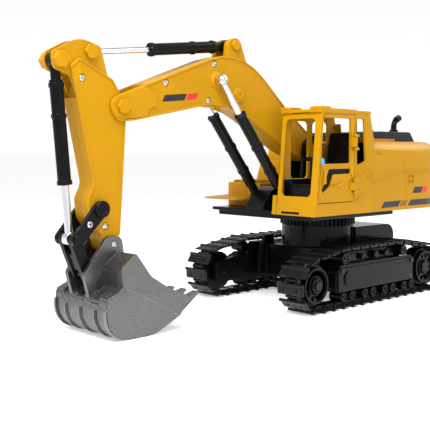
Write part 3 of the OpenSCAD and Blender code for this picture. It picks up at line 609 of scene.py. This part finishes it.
def shoe_shape():
    """One shoe: plate with a grouser along its rear edge, thinner ends, two sunk holes and a notch."""
    bm = bmesh.new()
    bar(bm, [(-3.5, 0.75), (3.1, 0.75), (3.5, 1.0), (3.4, 1.55), (3.1, 1.75), (-1.8, 1.75),
             (-2.3, SHOE_OUT), (-3.2, SHOE_OUT), (-3.5, 2.1)], -SHOE_HALF, SHOE_HALF)
    cutter = bmesh.new()
    for v in (-4.9, 4.9):
        upright(cutter, 0.8, v, 0.75, 1.2, 3.0)
    for v in (-SHOE_HALF - 1, SHOE_HALF - 1.5):
        bar(cutter, box_outline(-1.4, 4.5, 1.45, 3.0), v, v + 2.5)
    bar(cutter, box_outline(2.2, 4.5, 1.4, 3.0), -0.9, 0.9)
    return carved(bm, cutter)


def link_shape():
    """The hinge between two shoes: two chain plates and their pin."""
    bm = bmesh.new()
    for v0, v1 in ((-4.2, -2.4), (2.4, 4.2)):
        bar(bm, [(-3.0, -1.0), (3.0, -1.0), (3.7, -0.3), (3.7, 0.5), (3.0, 1.1), (-3.0, 1.1), (-3.7, 0.5),
                 (-3.7, -0.3)], v0, v1)
    bar(bm, box_outline(-2.2, 2.2, -0.8, 0.8), -2.5, 2.5)
    return bm


def pin_shape():
    """The ends of a pin, which stand out of the chain plates."""
    bm = bmesh.new()
    bar(bm, round_points((0, 0), 1.15, 14), -4.9, 4.9)
    return bm


def lay_round(target, shape, s_values, side):
    """Copies a shape round the track's pitch line."""
    shape.verts.index_update()
    for s in s_values:
        centre, angle = on_loop(s % LOOP)
        out = spoke(angle)
        along = Vector((out.y, -out.x))
        copies = []
        for vert in shape.verts:
            u, v, w = vert.co
            p = centre + along * u + out * w
            copies.append(target.verts.new(at(p.x, side * track_y + v, p.y)))
        for face in shape.faces:
            target.faces.new([copies[v.index] for v in face.verts])


def track(side, hand):
    """One belt: 34 shoes, and the chain under them."""
    shoes = bmesh.new()
    middles = [(i + 0.5) * SHOE_PITCH for i in range(SHOE_COUNT)]
    lay_round(shoes, shoe_shape(), middles, side)
    piece = add_piece("track_shoes_" + hand, shoes, "chassis", "track_rubber")
    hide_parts("track_belt_" + hand)
    soften(piece, 0.16)
    chain = bmesh.new()
    lay_round(chain, link_shape(), middles, side)
    lay_round(chain, pin_shape(), [i * SHOE_PITCH for i in range(SHOE_COUNT)], side)
    soften(add_piece("track_chain_" + hand, chain, "chassis", "track_rubber"), 0.15)


for side, hand in SIDES:
    track(side, hand)


# ---------- screws ----------
def add_screw(bm, x, z, y, radius, side):
    """A domed screw head with a cross recess; its crown stands at y."""
    height = 0.7
    arc = [spoke(math.pi / 8 * k) for k in range(1, 4)]
    dome = [(radius, -1.6 * height), (radius, -height)]
    dome += [(radius * p.x, height * (p.y - 1)) for p in arc]
    head = bmesh.new()
    add_stud(head, x, z, y, side, dome + [(0, 0)], 24)
    for turn in (0.35, 0.35 + math.pi / 2):
        arm = spoke(turn, radius * 0.62)
        half = spoke(turn + math.pi / 2, radius * 0.15)
        slot = [Vector((x, z)) + corner for corner in (arm + half, half - arm, -arm - half, arm - half)]
        cutter = bmesh.new()
        add_prism(cutter, slot, side * (y - height * 0.9), side * (y + 1))
        head = carved(head, cutter)
    mesh = bpy.data.meshes.new("scratch")
    head.to_mesh(mesh)
    head.free()
    bm.from_mesh(mesh)
    bpy.data.meshes.remove(mesh)


def screws(name, places, body, replaced=None, side=1):
    """places are (x, z, y of the crown, radius)."""
    bm = bmesh.new()
    for x, z, y, radius in places:
        add_screw(bm, x, z, y, radius, side)
    piece = add_piece(name, bm, body, "steel", angle=40)
    if replaced:
        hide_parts(replaced)


BOOM_SCREWS = [(101.8, 143.6), (137.4, 131.1), (106.1, 122.9)]
STICK_SCREWS = [(190.2, 130.6), (177.4, 56.4)]
for part, face, places in (("boom", boom_side, BOOM_SCREWS), ("stick", stick_side, STICK_SCREWS)):
    heads = [(x, z, face + 0.05, 1.75) for x, z in places]
    screws(part + "_screw_heads", heads, part, part + "_screws")


def capsule(a, b, ra, rb, steps=12):
    """Outline round two circles of radii ra and rb at a and b."""
    along = b - a
    heading = math.atan2(along.y, along.x)
    lean = math.acos((ra - rb) / along.length)
    rest = FULL_TURN - 2 * lean
    far = [b + spoke(heading - lean + 2 * lean * k / steps, rb) for k in range(steps + 1)]
    return far + [a + spoke(heading + lean + rest * k / steps, ra) for k in range(steps + 1)]


bm = bmesh.new()
for side, _ in SIDES:
    add_prism(bm, capsule(LINK_TOP, LINK_LOW, 4.2, 3.6), side * 6.3, side * 8.5)
link_plates = add_piece("side_link_plates", bm, "links", "black_plastic")
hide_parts("side_links")
soften(link_plates, 0.4, 3)

for side, hand in SIDES:
    screws("link_screw_" + hand, [(*LINK_SCREW, 9.0, 1.8)], "links", side=side)
    screws("ear_screw_" + hand, [(*BUCKET_PIN, 9.2, 1.6)], "bucket_body", side=side)
    bm = bmesh.new()
    hollowed = [(4.3, 0), (4.3, 1.3), (3.9, 1.7), (2.6, 1.7), (2.4, 1.5), (0, 1.5)]
    add_stud(bm, *LINK_TOP, 8.3, side, hollowed, 40)
    add_stud(bm, *LINK_LOW, 8.3, side, [(3.0, 0), (3.0, 0.9), (2.7, 1.2), (0, 1.2)])
    add_piece("link_caps_" + hand, bm, "links", "black_plastic")
    screws("rod_screw_" + hand, [(*ROD_END, 14.9, 1.7)], "boom_rods", side=side)


# ---------- boom and stick ----------
for side, hand in SIDES:
    for part, face in (("boom", boom_side), ("stick", stick_side)):
        bm = bmesh.new()
        rim = inset(side_outline(f"{part}_{hand}", side, side * face), 0.7)
        close_ridge(bm, rim, flat_side(side * face), 1.1, 0.5)
        add_piece(f"{part}_rim_{hand}", bm, part, "yellow_plastic", angle=RIDGE_ANGLE)

bm = bmesh.new()
for side, _ in SIDES:
    add_ring(bm, 82.4, 127.0, boom_side + 0.7, side, 1.5, 2.5, 0.4, 32)
add_piece("boom_boss_rings", bm, "boom", "yellow_plastic", angle=RIDGE_ANGLE)

# plain accent bars on the boom's sides
for side, hand in SIDES:
    surface = flat_side(side * boom_side)
    dark = line((140.5, 121.0), (138.5, 124.6), (124.8, 122.4), (122.8, 126.0))
    add_decal("boom_bar_dark_" + hand, dark, surface, "boom", "black_plastic", DECAL_BLACK)
    red = line((123.6, 122.5), (121.6, 126.1), (116.2, 123.3), (114.2, 126.9))
    add_decal("boom_bar_red_" + hand, red, surface, "boom", "yellow_plastic", DECAL_RED)


# ---------- engine house ----------
def house_details(side, hand):
    """Moulded lines, black stripes and plain accent bars on one side of the house."""
    surface = house_surface(side)
    bm = bmesh.new()
    sweep = [(0.4, 75.4), (-8.9, 78.3), (-22.5, 80.7), (-35.9, 81.6), (-63.7, 81.7), (-100, 81.7)]
    add_ridge(bm, smooth_line(sweep), surface, 1.0, 0.55)
    add_ridge(bm, line((-30.7, 92.0), (-35.3, 81.6), (-36.1, 65.2)), surface, 0.5, 0.3)
    close_ridge(bm, line((-45, 74), (-39, 74), (-39, 79), (-45, 79)), surface, 0.6, 0.35)
    add_piece("house_lines_" + hand, bm, "upper_body", "yellow_plastic", angle=RIDGE_ANGLE)
    bm = bmesh.new()
    add_patch(bm, line((-8.3, 58.6), (-11.9, 62.4), (-27.4, 58.9), (-30.7, 62.7)), surface)
    for k in range(3):
        x = -29.6 - 2.3 * k
        add_patch(bm, line((x, 58.9), (x - 3.2, 62.7), (x - 0.9, 58.9), (x - 4.1, 62.7)), surface)
    add_patch(bm, line((-38.5, 58.9), (-42.2, 62.7), (-78.0, 58.9), (-78.0, 62.7)), surface, steps=24)
    add_piece("house_stripes_" + hand, bm, "upper_body", "black_plastic", DECAL_BLACK)
    dark = line((-44.0, 67.0), (-46.5, 71.0), (-54.0, 67.0), (-56.5, 71.0))
    add_decal("house_bar_dark_" + hand, dark, surface, "upper_body", "black_plastic", DECAL_BLACK)
    red = line((-55.2, 67.0), (-57.7, 71.0), (-60.2, 67.0), (-62.7, 71.0))
    add_decal("house_bar_red_" + hand, red, surface, "upper_body", "yellow_plastic", DECAL_RED, 3)


for side, hand in SIDES:
    house_details(side, hand)

# round badge with a plain cross, and the moulded lines on the cab's side and door
surface = flat_side(cab_side)
badge_x, badge_z = 4.6, 79.2
bm = bmesh.new()
close_ridge(bm, round_points((badge_x, badge_z), 2.7, 24), surface, 0.7, 0.5)
add_ridge(bm, line((badge_x - 1.6, badge_z), (badge_x + 1.6, badge_z)), surface, 0.7, 0.4)
add_ridge(bm, line((badge_x, badge_z - 1.6), (badge_x, badge_z + 1.6)), surface, 0.7, 0.4)
add_ridge(bm, smooth_line([(18.6, 64.6), (11.5, 69.0), (4.2, 73.2), (1.4, 74.9)]), surface, 1.0, 0.55)
add_ridge(bm, line((19.0, 80.9), (1.2, 87.1)), surface, 1.0, 0.55)
add_piece("cab_lines", bm, "upper_body", "yellow_plastic", angle=RIDGE_ANGLE)
bm = bmesh.new()
add_ridge(bm, line((22.6, 79.6), (40.0, 73.5)), surface, 1.0, 0.55)
add_piece("door_line", bm, "door", "yellow_plastic", angle=RIDGE_ANGLE)

# slot in the cab's front, drawn as a black strip that paints the shade inside the slot, and ribbed lamps on
# its roof
bm = bmesh.new()
add_block(bm, 57.8, 58.5, 19.5, 33.5, 57.4, 58.8)
soften(add_piece("cab_front_slot_shade", bm, "upper_body", "black_plastic"), 0.3)
bm = bmesh.new()
for y in (cab_side - 8, cab_right):
    for k in range(4):
        add_block(bm, 53.6, 54.6, y + 1.1 + 1.6 * k, y + 1.9 + 1.6 * k, 117.6, 120.1)
soften(add_piece("roof_lamp_ribs", bm, "upper_body", "yellow_plastic"), 0.15)


# ---------- bucket ----------
def add_arc_rib(bm, centre, radius, y, width, height, start, end, steps):
    """A rib across a round back, from start to end in degrees, that runs out to nothing at its end."""
    rows = []
    for k in range(steps + 1):
        a = math.radians(start + (end - start) * k / steps)
        top = radius + height * min(1.0, (steps - k) / 5, (k + 1) / 2)
        inner, outer = (centre + spoke(a, r) for r in (radius - 0.4, top))
        near, far = y - width / 2, y + width / 2
        corners = ((inner, near), (outer, near), (outer, far), (inner, far))
        rows.append([bm.verts.new(at(p.x, v, p.y)) for p, v in corners])
    add_loft(bm, rows)


def bucket_details():
    """Ribs and wear blocks on the bucket's back, and the seam on its sides, coloured a lighter grey as a
    painted highlight.
    """
    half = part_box("bucket")[1].y / MM
    back_r = 14
    back = Vector((176.5, back_r))
    bm = bmesh.new()
    for y in (-13.0, 0.0, 13.0):
        add_arc_rib(bm, back, back_r, y, 0.8, 0.3, 6, -78, 18)
    for y in (1 - half, half - 1):
        add_arc_rib(bm, back, back_r, y, 1.6, 0.35, 14, -78, 20)
    add_piece("bucket_ribs", bm, "bucket_body", "bucket_grey", angle=RIDGE_ANGLE)
    bm = bmesh.new()
    for y in (-18.5, -7.5, 7.5, 18.5):
        add_prism(bm, [(183.9, 23.0), (187.0, 21.6), (187.9, 23.3), (184.8, 24.9)], y - 2.6, y + 2.6)
    soften(add_piece("bucket_blocks", bm, "bucket_body", "bucket_grey"), 0.15)
    seam = smooth_line([(177.4, 26.0), (169.0, 22.0), (161.6, 18.1), (152.0, 12.8), (144.6, 8.6)])
    for side, hand in SIDES:
        bm = bmesh.new()
        add_ridge(bm, seam, flat_side(side * half), 0.7, 0.2)
        add_piece("bucket_side_highlight_line_" + hand, bm, "bucket_body", "bucket_grey", EDGE_HIGHLIGHT_GREY, RIDGE_ANGLE)


bucket_details()


# ---------- small round details of the undercarriage ----------
ROLLER_X, ROLLER_Z = 22.2, 6.6   # rear roller of the front pair
ROLLER_GAP = 8.6                 # between the two rollers of a pair
PAIR_PITCH = 21.6


def hub_profile(radius):
    """A small flat hub with a chamfered rim."""
    return [(radius, -0.5), (radius, 0.4), (radius - 0.3, 0.6), (0, 0.6)]


def frame_fittings(side, hand):
    """Roller and carrier faces, hexagon heads and blocks on a track frame."""
    bm = bmesh.new()
    for i in range(4):
        for x in (ROLLER_X - PAIR_PITCH * i, ROLLER_X + ROLLER_GAP - PAIR_PITCH * i):
            add_ring(bm, x, ROLLER_Z, track_y + 6, side, 1.9, 2.9, 0.5)
            add_stud(bm, x, ROLLER_Z, track_y + 6, side, hub_profile(0.9), 16)
    for x in (-CARRIER_X, CARRIER_X):
        add_ring(bm, x, CARRIER_Z, track_y + 7.2, side, 2.3, 3.3, 0.35)
        add_stud(bm, x, CARRIER_Z, track_y + 7.2, side, hub_profile(1.1), 16)
    for x, z, r in ((-4.0, 29.6, 2.6), (-14.5, 29.8, 1.9), (10.0, 29.6, 1.9)):
        add_stud(bm, x, z, track_y + 1.2, side, [(r, 0), (r, 3.6), (r - 0.4, 4.0), (0, 4.0)], 6)
    for x0, x1 in ((-27, -19), (14, 22)):
        add_block(bm, x0, x1, side * (track_y + 1.2), side * (track_y + 2.6), 27.4, 31.6)
    add_piece("frame_fittings_" + hand, bm, "chassis", "black_plastic")


def wheel_details(side, hand):
    """Two raised rings and six bolts on the face of each end wheel."""
    for x, name in ((axle_x, "idler"), (-axle_x, "drive")):
        bm = bmesh.new()
        add_ring(bm, x, axle_z, track_y + 4, side, 11.3, 12.3, 0.35, 48)
        add_ring(bm, x, axle_z, track_y + 5.8, side, 5.3, 6.0, 0.35)
        for p in round_points((x, axle_z), 3.5, 6):
            add_stud(bm, *p, track_y + 7.5, side, [(0.55, 0), (0.55, 0.4), (0.35, 0.6), (0, 0.6)], 10)
        add_piece(f"{name}_bolts_{hand}", bm, f"{name}_wheel_{hand}", "black_plastic")


for side, hand in SIDES:
    frame_fittings(side, hand)
    wheel_details(side, hand)


# ---------- cab interior ----------
# black sheets painted as the shade inside the cab: floor, right wall, back and front sill, just inside the
# yellow shell
bm = bmesh.new()
add_block(bm, 2.8, 55.4, 17.3, 43.1, 58.7, 60.0)
add_block(bm, 2.8, 53.6, 17.2, 17.8, 59.9, 77.6)
add_block(bm, 2.7, 3.4, 17.2, 43.1, 59.9, 100.0)
add_block(bm, 54.6, 55.6, 17.2, 43.1, 59.9, 67.2)
soften(add_piece("cab_painted_shade", bm, "upper_body", "black_plastic"), 0.2)
# black panel painted as the shade seen through the door's lower opening
bm = bmesh.new()
add_block(bm, 22.4, 52.0, 42.9, 43.5, 68.6, 86.0)
soften(add_piece("door_opening_shade", bm, "door", "black_plastic"), 0.2)


# ---------- stage, light and camera ----------
WHITE = (1.0, 1.0, 1.0, 1.0)


def stage_floor():
    """A wide pale floor that glows a little, so that it stays near white far from the lights."""
    bm = bmesh.new()
    bmesh.ops.create_grid(bm, x_segments=1, y_segments=1, size=20.0)
    mesh = bpy.data.meshes.new("floor")
    bm.to_mesh(mesh)
    bm.free()
    floor = bpy.data.objects.new("floor", mesh)
    material, _, _, shader = new_material("floor")
    shader.inputs["Base Color"].default_value = (0.93, 0.93, 0.93, 1.0)
    shader.inputs["Roughness"].default_value = 0.7
    shader.inputs["Emission Color"].default_value = WHITE
    shader.inputs["Emission Strength"].default_value = 0.38
    mesh.materials.append(material)
    bpy.context.scene.collection.objects.link(floor)


def area_light(name, place, target, size, power):
    """A soft rectangular light at place, aimed at target."""
    data = bpy.data.lights.new(name, "AREA")
    data.shape = "RECTANGLE"
    data.size, data.size_y = size
    data.energy = power
    light = bpy.data.objects.new(name, data)
    light.location = place
    light.rotation_mode = "QUATERNION"
    light.rotation_quaternion = (Vector(target) - Vector(place)).to_track_quat("-Z", "Y")
    bpy.context.scene.collection.objects.link(light)


def camera():
    """Looks at the toy from the front left, a little above its arm's middle."""
    azimuth, elevation = math.radians(137.291), math.radians(5.547)
    reach = math.cos(elevation)
    back = Vector((math.sin(azimuth) * reach, -math.cos(azimuth) * reach, math.sin(elevation)))
    data = bpy.data.cameras.new("camera")
    data.lens = 66.12
    data.sensor_width = 36.0
    data.shift_x, data.shift_y = 0.0277, 0.0297
    data.clip_start, data.clip_end = 0.01, 20.0
    eye = bpy.data.objects.new("camera", data)
    eye.location = at(413.602, 335.284, 94.72)
    eye.rotation_mode = "QUATERNION"
    eye.rotation_quaternion = (-back).to_track_quat("-Z", "Y")
    bpy.context.scene.collection.objects.link(eye)
    bpy.context.scene.camera = eye


def world():
    """White all round, brighter at the horizon than overhead."""
    surroundings = bpy.data.worlds.new("studio")
    bpy.context.scene.world = surroundings
    surroundings.use_nodes = True
    nodes, links = surroundings.node_tree.nodes, surroundings.node_tree.links
    place = nodes.new("ShaderNodeTexCoord")
    height = nodes.new("ShaderNodeSeparateXYZ")
    links.new(place.outputs["Generated"], height.inputs["Vector"])
    brightness = spread(nodes, links, height.outputs["Z"], 1.03, 0.45, 0.1, 0.8)
    links.new(brightness, nodes["Background"].inputs["Strength"])
    nodes["Background"].inputs["Color"].default_value = WHITE


stage_floor()
world()
area_light("key", at(330, 120, 460), at(60, 0, 80), (0.3, 0.3), 3.4)
area_light("rim", at(-380, 120, 420), at(20, 0, 70), (0.3, 0.4), 1.6)
area_light("fill", at(60, 480, 200), at(20, 0, 70), (0.6, 0.5), 0.2)
camera()
bpy.context.scene.view_settings.view_transform = "Standard"
